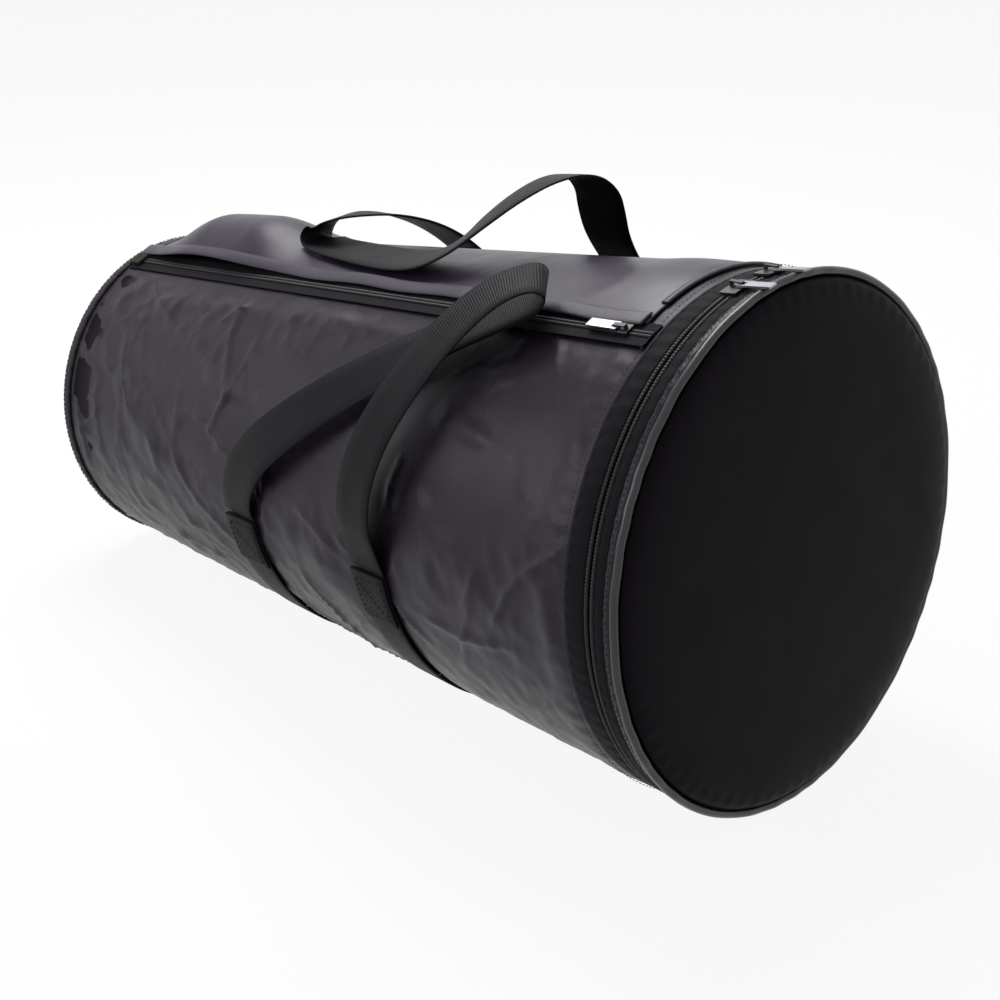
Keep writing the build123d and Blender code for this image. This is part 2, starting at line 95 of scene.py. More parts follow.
def bump(value, centre, width):
    # bell curve: e^(-((value - centre) / width)^2)
    return np.exp(-(((value - centre) / width) ** 2))


def fade(value, start, end):
    # smooth step from 0 at start to 1 at end
    t = np.clip((value - start) / (end - start), 0, 1)
    return t * t * (3 - 2 * t)


def waves(station, angle, seed, count, shortest, longest, sharp):
    # sum of waves in random directions over the unrolled cover, whole numbers of them round the bag;
    # sharp 0 keeps them round, 1 turns each into narrow ridges, 1 - |sin|
    rng = np.random.default_rng(seed)
    total = np.zeros(np.broadcast(station, angle).shape)
    weights = 0.0
    for _ in range(count):
        length = rng.uniform(shortest, longest)
        turn = rng.uniform(0, 2 * math.pi)
        along = 2 * math.pi / length * math.cos(turn)
        around = round(2 * math.pi / length * math.sin(turn) * 0.16)
        bend = rng.uniform(0.6, 1.6) * np.sin(
            station * rng.uniform(9, 22) + np.radians(angle) * rng.integers(1, 4)
        )
        wave = np.sin(along * station + around * np.radians(angle) + rng.uniform(0, 2 * math.pi) + bend)
        shape = (1 - sharp) * wave + sharp * (1 - 2 * np.abs(wave) ** 0.7)
        weight = length / longest
        total += weight * shape
        weights += weight
    return total / weights


def faceWaves(radius, angle, seed, count, shortest, longest, sharp):
    # the same waves over a round face, from its two flat directions
    x, y = radius * np.cos(np.radians(angle)), radius * np.sin(np.radians(angle))
    return waves(x, y * 358, seed, count, shortest, longest, sharp)


# Mesh making: rows of closed loops, finished by caps, poles or by joining the last row to the first
def shell(name, rows, material, ends="cap", along=None, around=None, smooth=True):
    count, size = rows.shape[:2]
    points = rows.reshape(-1, 3)
    last = count if ends == "loop" else count - 1
    i, j = np.meshgrid(np.arange(last), np.arange(size), indexing="ij")
    i2, j2 = (i + 1) % count, (j + 1) % size
    quads = np.stack([i * size + j, i2 * size + j, i2 * size + j2, i * size + j2], -1).reshape(-1, 4)
    tris = np.zeros((0, 3), int)
    extra = np.zeros((0, 4), int)
    if ends == "poles":
        poles = np.array([rows[0].mean(0), rows[-1].mean(0)])
        first, final = len(points), len(points) + 1
        points = np.vstack([points, poles])
        k = np.arange(size)
        k2 = (k + 1) % size
        base = (count - 1) * size
        tris = np.vstack([
            np.stack([np.full(size, first), k, k2], -1),
            np.stack([base + k, np.full(size, final), base + k2], -1),
        ])
    if ends == "cap":
        k = np.arange(size // 2 - 1)
        base = (count - 1) * size
        extra = np.vstack([
            np.stack([k, k + 1, size - 2 - k, size - 1 - k], -1),
            np.stack([base + size - 1 - k, base + size - 2 - k, base + k + 1, base + k], -1),
        ])
    uvCorners = None
    if along is not None:
        u = np.asarray(along, float)
        v = np.asarray(around, float)
        uNext = u[i2] if len(u) == count else u[i + 1]
        quadUv = np.stack([
            np.stack([u[i], v[j]], -1), np.stack([uNext, v[j]], -1),
            np.stack([uNext, v[j + 1]], -1), np.stack([u[i], v[j + 1]], -1),
        ], -2).reshape(-1, 4, 2)
        extraUv = np.zeros((len(extra), 4, 2))
        triUv = np.zeros((len(tris), 3, 2))
        uvCorners = [quadUv, extraUv, triUv]
    return putMesh(name, points, [quads, extra, tris], material, uvCorners, smooth)


def putMesh(name, points, groups, material, uvCorners=None, smooth=True):
    groups = [np.asarray(g, int) for g in groups]
    # outward faces: the signed volume, a sixth of each corner's triple product, is made positive
    volume = 0.0
    for g in groups:
        for k in range(1, g.shape[1] - 1):
            a, b, c = points[g[:, 0]], points[g[:, k]], points[g[:, k + 1]]
            volume += float(np.einsum("ij,ij->i", a, np.cross(b, c)).sum())
    if volume < 0:
        groups = [g[:, ::-1] for g in groups]
        if uvCorners:
            uvCorners = [c[:, ::-1] for c in uvCorners]
    mesh = bpy.data.meshes.new(name)
    mesh.vertices.add(len(points))
    mesh.vertices.foreach_set("co", points.astype(np.float32).ravel())
    corners = np.concatenate([g.ravel() for g in groups]).astype(np.int32)
    sizes = np.concatenate([np.full(len(g), g.shape[1]) for g in groups])
    starts = np.concatenate([[0], np.cumsum(sizes)[:-1]]).astype(np.int32)
    mesh.loops.add(len(corners))
    mesh.loops.foreach_set("vertex_index", corners)
    mesh.polygons.add(len(sizes))
    mesh.polygons.foreach_set("loop_start", starts)
    mesh.update(calc_edges=True)
    if uvCorners:
        layer = mesh.uv_layers.new(name="surface")
        flat = np.concatenate([c.reshape(-1, 2) for c in uvCorners]).astype(np.float32)
        layer.data.foreach_set("uv", flat.ravel())
    mesh.polygons.foreach_set("use_smooth", np.full(len(sizes), smooth))
    mesh.validate()
    piece = bpy.data.objects.new(name, mesh)
    bpy.context.scene.collection.objects.link(piece)
    mesh.materials.append(material)
    return piece


def fit(piece, body, slotName, *nodes):
    if nodes:
        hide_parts(*nodes)
    if body:
        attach(piece, body)
    return piece


# Shader groups
def newGroup(name, inputs, outputs):
    group = bpy.data.node_groups.new(name, "ShaderNodeTree")
    for label, kind, value in inputs:
        socket = group.interface.new_socket(label, in_out="INPUT", socket_type=kind)
        if value is not None:
            socket.default_value = value
    for label, kind in outputs:
        group.interface.new_socket(label, in_out="OUTPUT", socket_type=kind)
    entry = group.nodes.new("NodeGroupInput")
    leave = group.nodes.new("NodeGroupOutput")
    return group, entry, leave


def mathNode(tree, kind, a, b=None, c=None):
    node = tree.nodes.new("ShaderNodeMath")
    node.operation = kind
    for index, value in enumerate((a, b, c)):
        if value is None:
            continue
        if isinstance(value, (int, float)):
            node.inputs[index].default_value = value
        else:
            tree.links.new(value, node.inputs[index])
    return node.outputs[0]


def noiseNode(tree, vector, scale, detail=4.0, rough=0.5, kind="FBM"):
    node = tree.nodes.new("ShaderNodeTexNoise")
    node.noise_type = kind
    node.inputs["Detail"].default_value = detail
    node.inputs["Roughness"].default_value = rough
    tree.links.new(vector, node.inputs["Vector"])
    if isinstance(scale, (int, float)):
        node.inputs["Scale"].default_value = scale
    else:
        tree.links.new(scale, node.inputs["Scale"])
    return node.outputs["Fac"]


def makeClothGroup():
    # crinkles, thread grain and slow shade changes for every sewn cloth
    group, entry, leave = newGroup(
        "clothSurface",
        [("Vector", "NodeSocketVector", None), ("Crinkle Scale", "NodeSocketFloat", 40.0),
         ("Crinkle", "NodeSocketFloat", 0.5), ("Thread Scale", "NodeSocketFloat", 1400.0),
         ("Thread", "NodeSocketFloat", 0.2), ("Shade Spread", "NodeSocketFloat", 0.2)],
        [("Height", "NodeSocketFloat"), ("Shade", "NodeSocketFloat"), ("Rub", "NodeSocketFloat")],
    )
    spacing = entry.outputs["Crinkle Scale"]
    crease = noiseNode(group, entry.outputs["Vector"], spacing, 3.0, 0.45, "RIDGED_MULTIFRACTAL")
    crease = mathNode(group, "MULTIPLY", mathNode(group, "MINIMUM", crease, 1.6), entry.outputs["Crinkle"])
    thread = noiseNode(group, entry.outputs["Vector"], entry.outputs["Thread Scale"], 1.0, 0.5)
    thread = mathNode(group, "MULTIPLY", thread, entry.outputs["Thread"])
    height = mathNode(group, "ADD", crease, thread)
    slow = noiseNode(group, entry.outputs["Vector"], 9.0, 3.0, 0.55)
    centred = mathNode(group, "SUBTRACT", slow, 0.5)
    shade = mathNode(group, "MULTIPLY_ADD", centred, entry.outputs["Shade Spread"], 1.0)
    fleck = noiseNode(group, entry.outputs["Vector"], 420.0, 2.0, 0.6)
    shade = mathNode(group, "MULTIPLY", shade, mathNode(group, "MULTIPLY_ADD", fleck, 0.35, 0.82))
    rub = noiseNode(group, entry.outputs["Vector"], 26.0, 4.0, 0.6)
    group.links.new(height, leave.inputs["Height"])
    group.links.new(shade, leave.inputs["Shade"])
    group.links.new(rub, leave.inputs["Rub"])
    return group


def makeRibGroup():
    # ribs across the webbing and a plain selvedge along both edges, from a map in metres; the shade is painted
    # shade, darker in the grooves between ribs and lighter on their crests
    group, entry, leave = newGroup(
        "webbingRibs",
        [("Vector", "NodeSocketVector", None), ("Pitch", "NodeSocketFloat", 0.0016),
         ("Half Width", "NodeSocketFloat", 0.019)],
        [("Height", "NodeSocketFloat"), ("Shade", "NodeSocketFloat")],
    )
    split = group.nodes.new("ShaderNodeSeparateXYZ")
    group.links.new(entry.outputs["Vector"], split.inputs[0])
    turns = mathNode(group, "DIVIDE", split.outputs["X"], entry.outputs["Pitch"])
    ribs = mathNode(group, "SINE", mathNode(group, "MULTIPLY", turns, 2 * math.pi))
    cross = mathNode(group, "DIVIDE", split.outputs["Y"], entry.outputs["Pitch"])
    bars = mathNode(group, "SINE", mathNode(group, "MULTIPLY", cross, 2 * math.pi * 0.8))
    woven = mathNode(group, "MULTIPLY", ribs, mathNode(group, "MULTIPLY_ADD", bars, 0.35, 0.65))
    fromMiddle = mathNode(group, "ABSOLUTE", split.outputs["Y"])
    reach = mathNode(group, "DIVIDE", fromMiddle, entry.outputs["Half Width"])
    edge = mathNode(group, "GREATER_THAN", reach, 0.86)
    height = mathNode(group, "MULTIPLY", woven, mathNode(group, "MULTIPLY_ADD", edge, -0.6, 1.0))
    # painted shade: the colour follows the rib relief, darker in the grooves and lighter on the crests
    shade = mathNode(group, "MULTIPLY_ADD", woven, 0.22, 1.0)
    group.links.new(height, leave.inputs["Height"])
    group.links.new(shade, leave.inputs["Shade"])
    return group


clothGroup = makeClothGroup()
ribGroup = makeRibGroup()


def placeGroup(tree, group, vector, values):
    node = tree.nodes.new("ShaderNodeGroup")
    node.node_tree = group
    tree.links.new(vector, node.inputs["Vector"])
    for label, value in values.items():
        node.inputs[label].default_value = value
    return node


def placeCloth(tree, coordinates, values):
    return placeGroup(tree, clothGroup, coordinates.outputs["Object"], {
        "Crinkle Scale": values["crinkleScale"], "Crinkle": values["crinkle"],
        "Thread Scale": values["threadScale"], "Thread": values["thread"],
        "Shade Spread": values["shadeSpread"],
    })


def tint(tree, colour, shade):
    # the cloth's colour times its shade
    node = tree.nodes.new("ShaderNodeMix")
    node.data_type = "RGBA"
    node.blend_type = "MULTIPLY"
    node.inputs[0].default_value = 1.0
    node.inputs[6].default_value = (*colour, 1.0)
    grey = tree.nodes.new("ShaderNodeCombineColor")
    for index in range(3):
        tree.links.new(shade, grey.inputs[index])
    tree.links.new(grey.outputs[0], node.inputs[7])
    return node.outputs[2]


def startMaterial(name):
    material = bpy.data.materials.new(name)
    material.use_nodes = True
    tree = material.node_tree
    shader = tree.nodes["Principled BSDF"]
    coordinates = tree.nodes.new("ShaderNodeTexCoord")
    return material, tree, shader, coordinates


def dress(tree, shader, values, shade, rub, height):
    # what every finish has: its colour and shade, its rubbed roughness, its relief and its shine
    tree.links.new(tint(tree, values["colour"], shade), shader.inputs["Base Color"])
    spread = values["roughSpread"]
    rough = mathNode(tree, "MULTIPLY_ADD", rub, spread, values["roughness"] - spread / 2)
    tree.links.new(rough, shader.inputs["Roughness"])
    relief = tree.nodes.new("ShaderNodeBump")
    relief.inputs["Strength"].default_value = values["bumpStrength"]
    relief.inputs["Distance"].default_value = values["bumpDepth"]
    tree.links.new(height, relief.inputs["Height"])
    tree.links.new(relief.outputs[0], shader.inputs["Normal"])
    shader.inputs["Specular IOR Level"].default_value = values["specular"]


def clothMaterial(name, values):
    material, tree, shader, coordinates = startMaterial(name)
    cloth = placeCloth(tree, coordinates, values)
    dress(tree, shader, values, cloth.outputs["Shade"], cloth.outputs["Rub"], cloth.outputs["Height"])
    shader.inputs["Sheen Weight"].default_value = values["sheen"]
    shader.inputs["Sheen Roughness"].default_value = 0.4
    shader.inputs["Sheen Tint"].default_value = (*values["sheenTint"], 1.0)
    return material


def webbingMaterial(name, values):
    material, tree, shader, coordinates = startMaterial(name)
    ribs = placeGroup(tree, ribGroup, coordinates.outputs["UV"], {
        "Pitch": values["pitch"], "Half Width": values["halfWidth"],
    })
    cloth = placeCloth(tree, coordinates, values)
    # the ribs' painted shade times the cloth's random tone
    shade = mathNode(tree, "MULTIPLY", ribs.outputs["Shade"], cloth.outputs["Shade"])
    dress(tree, shader, values, shade, cloth.outputs["Rub"], ribs.outputs["Height"])
    shader.inputs["Sheen Weight"].default_value = values["sheen"]
    shader.inputs["Sheen Roughness"].default_value = 0.5
    return material


def hardMaterial(name, values):
    material, tree, shader, coordinates = startMaterial(name)
    cloth = placeCloth(tree, coordinates, values)
    dress(tree, shader, values, cloth.outputs["Shade"], cloth.outputs["Rub"], cloth.outputs["Height"])
    shader.inputs["Metallic"].default_value = values["metallic"]
    return material


clothValues = {
    "nylon": dict(
        colour=(0.0095, 0.0052, 0.0120), shadeSpread=0.9, roughness=0.36, roughSpread=0.22,
        specular=0.22, sheen=0.008, sheenTint=(0.80, 0.72, 0.95), crinkleScale=22.0, crinkle=0.6,
        threadScale=1500.0, thread=0.05, bumpStrength=0.9, bumpDepth=0.0045),
    # the top pocket's nylon is a lighter, more purple copy of the cover nylon: painted light from above on the
    # pocket
    "topNylonPaintedLight": dict(
        colour=(0.019, 0.0125, 0.028), shadeSpread=0.7, roughness=0.36, roughSpread=0.2,
        specular=0.26, sheen=0.02, sheenTint=(0.82, 0.76, 1.0), crinkleScale=26.0, crinkle=0.5,
        threadScale=1500.0, thread=0.05, bumpStrength=0.8, bumpDepth=0.0030),
    # the lid's nylon is a darker copy of the cover nylon: painted shade on the lid
    "lidNylonPaintedShade": dict(
        colour=(0.0030, 0.0016, 0.0032), shadeSpread=0.3, roughness=0.50, roughSpread=0.14,
        specular=0.05, sheen=0.003, sheenTint=(0.85, 0.75, 0.95), crinkleScale=16.0, crinkle=0.25,
        threadScale=1500.0, thread=0.15, bumpStrength=0.35, bumpDepth=0.0008),
    "tape": dict(
        colour=(0.005, 0.0038, 0.0055), shadeSpread=0.3, roughness=0.7, roughSpread=0.15,
        specular=0.08, sheen=0.01, sheenTint=(0.9, 0.85, 1.0), crinkleScale=60.0, crinkle=0.2,
        threadScale=900.0, thread=0.5, bumpStrength=0.5, bumpDepth=0.0004),
    "seamTape": dict(
        colour=(0.022, 0.019, 0.024), shadeSpread=0.3, roughness=0.65, roughSpread=0.15,
        specular=0.2, sheen=0.05, sheenTint=(0.9, 0.88, 1.0), crinkleScale=70.0, crinkle=0.3,
        threadScale=900.0, thread=0.5, bumpStrength=0.5, bumpDepth=0.0005),
    "lining": dict(
        colour=(0.05, 0.05, 0.055), shadeSpread=0.3, roughness=0.8, roughSpread=0.1,
        specular=0.2, sheen=0.1, sheenTint=(1.0, 1.0, 1.0), crinkleScale=22.0, crinkle=0.4,
        threadScale=1100.0, thread=0.3, bumpStrength=0.5, bumpDepth=0.0008),
    "foam": dict(
        colour=(0.09, 0.09, 0.10), shadeSpread=0.2, roughness=0.9, roughSpread=0.1,
        specular=0.2, sheen=0.0, sheenTint=(1.0, 1.0, 1.0), crinkleScale=300.0, crinkle=0.4,
        threadScale=700.0, thread=0.8, bumpStrength=0.6, bumpDepth=0.0006),
}
cloths = {name: clothMaterial(name, values) for name, values in clothValues.items()}
webbing = webbingMaterial("webbing", dict(
    colour=(0.0045, 0.0030, 0.0052), pitch=0.0019, halfWidth=0.019, roughness=0.5, roughSpread=0.2,
    specular=0.09, sheen=0.005, shadeSpread=0.35, crinkleScale=30.0, crinkle=0.1,
    threadScale=1800.0, thread=0.3, bumpStrength=0.6, bumpDepth=0.00035))
tabWebbing = clothMaterial("tabWebbing", dict(clothValues["tape"], colour=(0.02, 0.026, 0.018)))

# What the hard finishes share, and what each has of its own
hardShared = dict(roughSpread=0.16, crinkle=0.3, threadScale=2600.0, thread=0.2, bumpStrength=0.25)
hardValues = {
    "coil": dict(
        colour=(0.008, 0.0065, 0.009), metallic=0.0, roughness=0.42, specular=0.2,
        crinkleScale=120.0, shadeSpread=0.2, bumpDepth=0.0001),
    "vinyl": dict(
        colour=(0.020, 0.018, 0.022), metallic=0.0, roughness=0.30, specular=0.45,
        crinkleScale=60.0, shadeSpread=0.25, bumpDepth=0.0004),
    "sliderEnamel": dict(
        colour=(0.03, 0.03, 0.033), metallic=0.6, roughness=0.35, specular=0.5,
        crinkleScale=200.0, shadeSpread=0.4, bumpDepth=0.0001),
    "pullNickel": dict(
        colour=(0.30, 0.29, 0.32), metallic=1.0, roughness=0.30, specular=0.5,
        crinkleScale=300.0, shadeSpread=0.15, bumpDepth=0.0001),
    "board": dict(
        colour=(0.05, 0.05, 0.055), metallic=0.0, roughness=0.6, specular=0.4,
        crinkleScale=80.0, shadeSpread=0.2, bumpDepth=0.0002),
    "thread": dict(
        colour=(0.012, 0.010, 0.014), metallic=0.0, roughness=0.55, specular=0.4,
        crinkleScale=500.0, shadeSpread=0.3, bumpDepth=0.0001),
}
hards = {name: hardMaterial(name, {**hardShared, **values}) for name, values in hardValues.items()}
print("materials made")

# Carried-over nodes and their finishes
nodeFinishes = (
    (cloths["foam"], ("base_padding", "body_padding", "lid_padding", "lid_piping_core")),
    (cloths["lining"], ("base_lining", "body_lining", "lid_lining")),
    (cloths["tape"], ("mouth_binding", "lid_piping_flange", "pocket_zip_tape_near", "pocket_zip_tape_far")),
    (hards["board"], ("base_board", "lid_board")),
    (hards["coil"], ("zip_end_stops",)),
    (hards["sliderEnamel"], ("near_zip_slider", "far_zip_slider", "pocket_zip_slider")),
    (hards["pullNickel"], ("near_zip_pull", "far_zip_pull", "pocket_zip_pull")),
    (tabWebbing, ("pocket_zip_tab",)),
)
for finish, nodeName in [(finish, name) for finish, names in nodeFinishes for name in names]:
    node = frame["nodes"][nodeName]
    node.data.materials.clear()
    node.data.materials.append(finish)

# The pocket's zip line, straight between two places on the cover
pocket = {
    "start": 0.026, "end": 0.640, "farAngle": -20.0, "zipStart": (0.028, 20.5), "zipEnd": (0.652, 28.5),
    "zipHeight": 0.0009, "lipWidth": 0.013, "lipMiddle": 0.0120, "coilWidth": 0.0026,
    "coilHeight": 0.0022, "coilSplit": 0.0004, "toothPitch": 0.0017, "lens": 0.0240,
    "fold": 0.0011, "lateFold": 0.0030, "thickness": 0.0012,
}
zipFrom = onBag(*pocket["zipStart"], pocket["zipHeight"])
zipTo = onBag(*pocket["zipEnd"], pocket["zipHeight"])
zipLength = float(np.linalg.norm(zipTo - zipFrom))
zipWay = (zipTo - zipFrom) / zipLength
zipMiddle = outwardAt(np.array((pocket["zipStart"][1] + pocket["zipEnd"][1]) / 2))
zipOut = zipMiddle - zipWay * (zipMiddle @ zipWay)
zipOut /= np.linalg.norm(zipOut)
zipAcross = np.cross(zipOut, zipWay)


def zipPlace(distance, across, height):
    # point beside the zip line: along it, across it towards the far side, and out from the cover
    distance, across, height = np.broadcast_arrays(
        np.asarray(distance, float), np.asarray(across, float), np.asarray(height, float)
    )
    place = zipFrom + distance[..., None] * zipWay
    return place + across[..., None] * zipAcross + height[..., None] * zipOut


def bagTerms(points):
    # station, angle and height of points
    local = points - bag["start"]
    station = local @ bag["way"]
    up, near = local @ bag["top"], local @ bag["near"]
    return station, np.degrees(np.arctan2(near, up)), np.hypot(up, near) - radiusAt(station)


lineTerms = bagTerms(zipPlace(np.linspace(-0.05, zipLength + 0.05, 200), 0.0, 0.0))


def zipAngle(station):
    return np.interp(station, lineTerms[0], lineTerms[1])


def puff(station, share):
    # how far the pocket's panel stands up: a long lens at the narrow end, low folds after it,
    # and one late fold near the lid
    arch = np.sin(np.pi * np.clip(share, 0, 1))
    steep = np.sin(np.pi * (0.94 * np.clip(share, 0, 1)) ** 1.15) ** 0.8
    lens = pocket["lens"] * fade(station, 0.030, 0.110) * (1 - fade(station, 0.165, 0.250)) * steep
    folds = pocket["fold"] * (1 + waves(station, share * 40, 21, 9, 0.05, 0.16, 0.4)) * arch
    late = pocket["lateFold"] * bump(station, 0.600, 0.030) * arch
    return lens + folds + late


# Creases in the cover: two ends as station and angle, width, height
creases = [
    (0.040, 38.0, 0.090, 49.0, 0.010, 0.0022), (0.191, 49.9, 0.244, 59.9, 0.012, 0.0026),
    (0.244, 59.9, 0.292, 62.0, 0.012, 0.0024), (0.120, 37.5, 0.300, 36.0, 0.009, 0.0018),
    (0.300, 36.0, 0.440, 37.0, 0.009, 0.0020), (0.503, 54.6, 0.580, 60.0, 0.009, 0.0022),
    (0.492, 74.0, 0.560, 90.0, 0.014, 0.0020), (0.600, 60.0, 0.640, 96.0, 0.010, 0.0018),
    (0.100, 70.0, 0.180, 92.0, 0.014, 0.0020), (0.045, 58.0, 0.110, 66.0, 0.010, 0.0018),
    (0.360, 96.0, 0.420, 112.0, 0.014, 0.0020), (0.620, 40.0, 0.648, 60.0, 0.008, 0.0016),
    (0.250, -50.0, 0.400, -62.0, 0.014, 0.0024), (0.500, -50.0, 0.620, -80.0, 0.014, 0.0024),
    (0.060, -70.0, 0.200, -95.0, 0.014, 0.0022),
]

folds = {
    "seed": 5, "count": 90, "shortest": 0.030, "longest": 0.130,
    "width": (0.0022, 0.0050), "height": (0.0010, 0.0030), "highest": 0.0045,
}
wrinkles = {
    "swell": 0.0016, "crinkle": 0.0020, "fineCrinkle": 0.0010, "straps": (0.286, 0.448),
    "strapReach": 0.030, "sag": 0.0016, "cinch": 0.0026, "gather": 0.0003, "mouthRoll": 0.0012,
    "lowest": -0.0009, "highest": 0.0065,
}


def foldRidges(station, angle):
    # many short soft-cloth folds: each falls off as e^(-distance / width) from a slightly bowed line
    rng = np.random.default_rng(folds["seed"])
    reach = radiusAt(station)
    total = np.zeros(station.shape)
    for _ in range(folds["count"]):
        s0, a0 = rng.uniform(0.03, 0.64), rng.choice([-1, 1]) * rng.uniform(32, 165)
        size = rng.uniform(folds["shortest"], folds["longest"])
        turn = rng.normal(0.9, 0.55) * rng.choice([-1, 1])
        width, height = rng.uniform(*folds["width"]), rng.uniform(*folds["height"])
        x, y = station - s0, np.radians(angle - a0) * reach
        alongFold = x * math.cos(turn) + y * math.sin(turn)
        bow = 0.004 * np.sin(alongFold * rng.uniform(30, 70) + rng.uniform(0, 6))
        away = -x * math.sin(turn) + y * math.cos(turn) + bow
        total += height * np.exp(-np.abs(away) / width) * np.exp(-((alongFold / size * 2) ** 4))
    return np.minimum(total, folds["highest"])


def coverLift(station, angle):
    # slow swells between the straps, ridged crinkles, folds, named creases and gathers at both ends,
    # fading out at the seams and beside the pocket
    lift = wrinkles["swell"] * waves(station, angle, 3, 10, 0.14, 0.30, 0.0)
    ridges = waves(station, angle, 8, 12, 0.045, 0.12, 0.95)
    lift += wrinkles["crinkle"] * ridges * (1.25 - 0.5 * fade(station, 0.1, 0.5))
    lift += wrinkles["fineCrinkle"] * waves(station, angle, 14, 12, 0.020, 0.045, 0.95)
    lift += foldRidges(station, angle)
    reach = radiusAt(station)
    for s1, a1, s2, a2, width, height in creases:
        x, y = station - s1, np.radians(angle - a1) * reach
        dx, dy = s2 - s1, np.radians(a2 - a1) * reach
        t = np.clip((x * dx + y * dy) / (dx * dx + dy * dy), 0, 1)
        away = np.hypot(x - t * dx, y - t * dy)
        lift += height * np.exp(-((away / width) ** 2)) * (0.45 + 0.55 * np.sin(np.pi * np.clip(t, 0.02, 0.98)))
    cinch = sum(bump(station, strap, wrinkles["strapReach"]) for strap in wrinkles["straps"])
    low = fade(np.abs(angle), 80, 100)
    lift += low * (wrinkles["sag"] - wrinkles["cinch"] * cinch)
    gather = np.sin(np.radians(angle) * 83 + 2 * np.sin(np.radians(angle) * 5))
    gatherEnds = fade(station, 0.630, 0.650) + 1 - fade(station, 0.022, 0.038)
    lift += wrinkles["gather"] * gather * gatherEnds
    lift += wrinkles["mouthRoll"] * bump(station, 0.640, 0.012)
    ends = fade(station, 0.020, 0.048) * (1 - fade(station, 0.646, 0.655))
    pocketMiddle = (zipAngle(station) + pocket["farAngle"]) / 2
    beside = fade(np.abs(angle - pocketMiddle), 25.0, 30.0)
    room = np.where(station < 0.655, beside, 1.0)
    return np.clip(lift, wrinkles["lowest"], wrinkles["highest"]) * ends * room


# Body cover: outer skin with its wrinkles, then back along the inner skin
cover = {"around": 380, "along": 214, "thickness": 0.0012, "innerStep": 28, "innerDepth": 0.0013, "end": 0.0001}
angles = np.linspace(-180, 180, cover["around"], endpoint=False)
outerStations = np.linspace(bag["baseSeam"] + cover["end"], bag["mouth"], cover["along"])
innerStations = outerStations[::-cover["innerStep"]]
stations = np.concatenate([outerStations, innerStations])
sGrid, aGrid = np.meshgrid(stations, angles, indexing="ij")
lift = coverLift(sGrid, aGrid)
# the inner skin is plain and coarse; from its last ring one face closes to the narrow seam
lift[cover["along"]:] = -cover["innerDepth"]
rows = settle(onBag(sGrid, aGrid, lift), bag["bellyHeight"])
innerRows = rows[cover["along"]:, :, 2]
rows[cover["along"]:, :, 2] = np.maximum(innerRows, bag["bellyHeight"] + cover["thickness"])
alongMap, aroundMap = np.append(stations, stations[0]), np.append(angles, 180) / 360
bodyCover = shell("bodyCover", rows, cloths["nylon"], "loop", alongMap, aroundMap)
fit(bodyCover, "root", "nylon", "body_cover")

# Narrow end: a slightly full round panel, its corner and the short wall up to the seam
base = {
    "corner": 0.018, "bulge": 0.0080, "wave": 0.0014, "thickness": 0.0012, "firstRing": 0.004,
    "rings": 44, "cornerRings": 14, "around": 300,
}
flatRadius = bag["narrowRadius"] - base["corner"]
radii = np.linspace(base["firstRing"], flatRadius, base["rings"])
turn = np.linspace(0, math.pi / 2, base["cornerRings"])[1:]
profileR = np.concatenate([radii, flatRadius + base["corner"] * np.sin(turn)])
profileS = np.concatenate([np.zeros(base["rings"]), base["corner"] * (1 - np.cos(turn))])
profileS = np.append(profileS, bag["baseSeam"] - 0.0001)
profileR = np.append(profileR, radiusAt(bag["baseSeam"]) - 0.0002)
angles = np.linspace(-180, 180, base["around"], endpoint=False)
rGrid, aGrid = np.meshgrid(profileR, angles, indexing="ij")
sGrid = np.broadcast_to(profileS[:, None], rGrid.shape)
share = np.clip(rGrid / flatRadius, 0, 1)
dent = faceWaves(rGrid, aGrid, 31, 12, 0.05, 0.14, 0.6) * fade(1.12 - share, 0, 0.3)
full = base["bulge"] * (1 - share ** 2) + base["wave"] * dent
outer = onBag(sGrid - full, aGrid, rGrid - radiusAt(sGrid - full))
# the inner skin lies inward along the axis under the panel, and towards the axis under the wall
faceThick = base["thickness"] * (1 - fade(profileS, 0.004, 0.018))
wallThick = base["thickness"] * fade(profileR, 0.116, 0.133)
inner = outer + bag["way"] * faceThick[:, None, None] - outwardAt(aGrid) * wallThick[:, None, None]
rows = settle(np.concatenate([outer, inner[::-1]]), bag["bellyHeight"])
span = np.concatenate([profileR + profileS, (profileR + profileS)[::-1]])
baseCover = shell("baseCover", rows, cloths["nylon"], "poles", span, np.append(angles, 180) / 360)
fit(baseCover, "root", "nylon", "base_cover")
print("cover made")


# Bands round the bag: a rounded strip section carried round by angle
def stripSection(first, last, depth, thickness, count=6, crown=0.0):
    # closed loop of (station, height) pairs: the top across, slightly crowned, then back along the underside
    t = np.linspace(0, 1, count)
    rise = crown * np.sin(np.pi * t)
    top = np.stack([first + (last - first) * t, -depth + rise], -1)
    low = np.stack([first + (last - first) * t[::-1], np.full(count, -depth - thickness)], -1)
    return np.concatenate([top, low])


def bandRing(
    name, material, body, slotName, nodes, section, firstAngle, arc, count,
    floor=None, pucker=0.0, waveCount=90,
):
    closed = arc >= 359.9
    angles = np.linspace(firstAngle, firstAngle + arc, count, endpoint=not closed)
    aGrid, station = np.meshgrid(angles, section[:, 0], indexing="ij")
    height = np.broadcast_to(section[:, 1], station.shape)
    wobble = pucker * np.sin(np.radians(aGrid) * waveCount + 3 * np.sin(np.radians(aGrid) * 4))
    rows = onBag(station, aGrid, height + wobble)
    if floor is not None:
        rows = settle(rows, floor, 0.0003)
    along = np.radians(np.append(angles, angles[0] + 360) if closed else angles) * 0.18
    around = np.append(section[:, 0], section[0, 0])
    piece = shell(name, rows, material, "loop" if closed else "cap", along, around)
    return fit(piece, body, slotName, *nodes)


